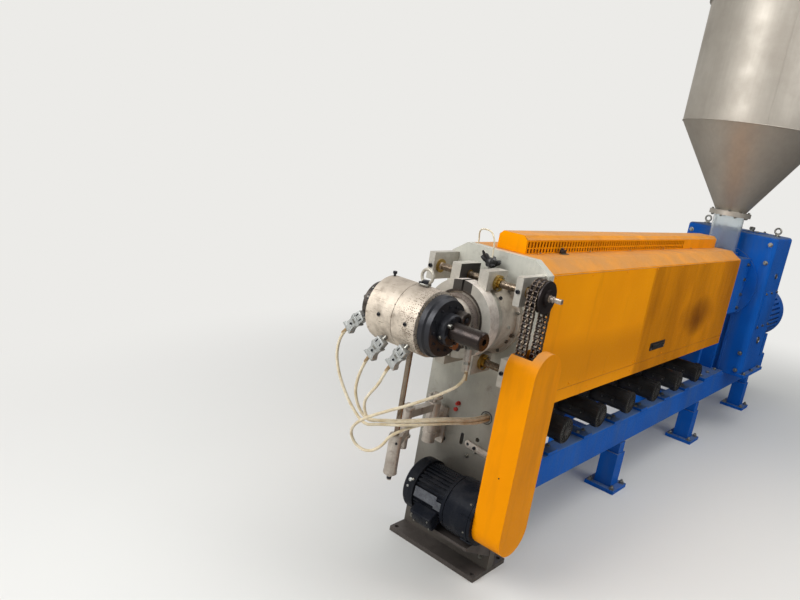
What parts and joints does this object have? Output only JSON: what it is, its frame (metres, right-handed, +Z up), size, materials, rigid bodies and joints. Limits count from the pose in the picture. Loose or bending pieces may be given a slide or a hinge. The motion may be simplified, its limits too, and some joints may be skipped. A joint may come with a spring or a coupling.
{
  "type": "cable extrusion machine",
  "caption": "Floor-standing cable extruder: covered heated barrel, hopper and gearbox behind, crosshead held by a screw-driven split clamp at the front.",
  "frame": {"origin": "on the floor, in the middle of the outline without its free leads", "axes": "+X along the cable line, towards the side where the cable enters; +Y along the barrel, from the crosshead to the gearbox; +Z up"},
  "size_m": [0.864, 4.4944, 2.784],
  "materials": {
    "blue_paint": "gloss",
    "yellow_paint": "satin",
    "grey_steel": "worn",
    "bare_steel": "satin",
    "bright_steel": "polished",
    "dark_steel": "oiled",
    "black_steel": "gloss",
    "bronze": "satin",
    "cast_aluminium": "satin",
    "stainless_sheet": "satin",
    "fan_plastic": "matte",
    "glass_sleeve": "matte",
    "clear_tube": "clear"
  },
  "bodies": {
    "machine": {"arm_bracket": "grey_steel", "barrel": "bare_steel", "barrel_head": "bare_steel", "barrel_jackets": "cast_aluminium", "base_beams": "blue_paint", "base_trestles": "blue_paint", "bearing_blocks": "bare_steel", "blower_mounts": "blue_paint", "blowers": "cast_aluminium", "chain_guard": "yellow_paint", "clamp_gearhead": "black_steel", "clamp_motor": "black_steel", "clamp_motor_box": "black_steel", "clamp_motor_cowl": "black_steel", "core_flange": "black_steel", "core_tube": "dark_steel", "cover_end_sheet": "yellow_paint", "cover_panels_left": "yellow_paint", "cover_panels_right": "yellow_paint", "cover_top": "yellow_paint", "crosshead_body": "bare_steel", "crosshead_neck": "bare_steel", "drive_cowl": "blue_paint", "drive_motor": "blue_paint", "drive_mount": "blue_paint", "eyebolt": "bright_steel", "feed_throat": "blue_paint", "front_plate": "grey_steel", "gearbox": "blue_paint", "heater_bands": "stainless_sheet", "heater_lead_1": "glass_sleeve", "heater_lead_2": "glass_sleeve", "heater_lead_3": "glass_sleeve", "heater_lead_4": "glass_sleeve", "heater_plugs": "cast_aluminium", "hopper": "stainless_sheet", "hopper_cone": "stainless_sheet", "hopper_lid": "stainless_sheet", "hopper_window": "clear_tube", "melt_sensor": "black_steel", "motor_shelf": "grey_steel", "nose_ring": "bare_steel", "plate_foot": "grey_steel", "screw_bushes": "bronze", "screw_chain": "dark_steel", "sensor_cable": "glass_sleeve", "support_rod": "bright_steel", "support_sleeve": "bare_steel", "swing_links": "grey_steel", "vent_box": "yellow_paint"},
    "clamp_right": {"clamp_half_right": "bare_steel", "screw_nuts_right": "bronze"},
    "clamp_left": {"clamp_half_left": "bare_steel", "screw_nuts_left": "bronze"},
    "upper_screw": {"lead_screw_upper": "bright_steel", "chain_wheel_upper": "dark_steel"},
    "lower_screw": {"lead_screw_lower": "bright_steel", "chain_wheel_lower": "dark_steel"}
  },
  "joints": [
    {"name": "clamp_right_slide", "type": "slide", "parent": "machine", "child": "clamp_right", "axis": [1, 0, 0], "range_m": [0, 0.06777]},
    {"name": "clamp_left_slide", "type": "slide", "parent": "machine", "child": "clamp_left", "axis": [-1, 0, 0], "range_m": [0, 0.06779]},
    {"name": "upper_screw_turn", "type": "hinge", "parent": "machine", "child": "upper_screw", "pos_m": [0, -1.88315, 1.14764], "axis": [1, 0, 0], "range_deg": [0, 2035]},
    {"name": "lower_screw_turn", "type": "hinge", "parent": "machine", "child": "lower_screw", "pos_m": [0, -1.88315, 0.85236], "axis": [1, 0, 0], "range_deg": [0, 2035]}
  ],
  "couplings": [
    {"joint": "clamp_left_slide", "follows": "clamp_right_slide", "ratio": 1},
    {"joint": "upper_screw_turn", "follows": "clamp_right_slide", "rad_per_m": 523.6},
    {"joint": "lower_screw_turn", "follows": "clamp_right_slide", "rad_per_m": 523.6}
  ]
}
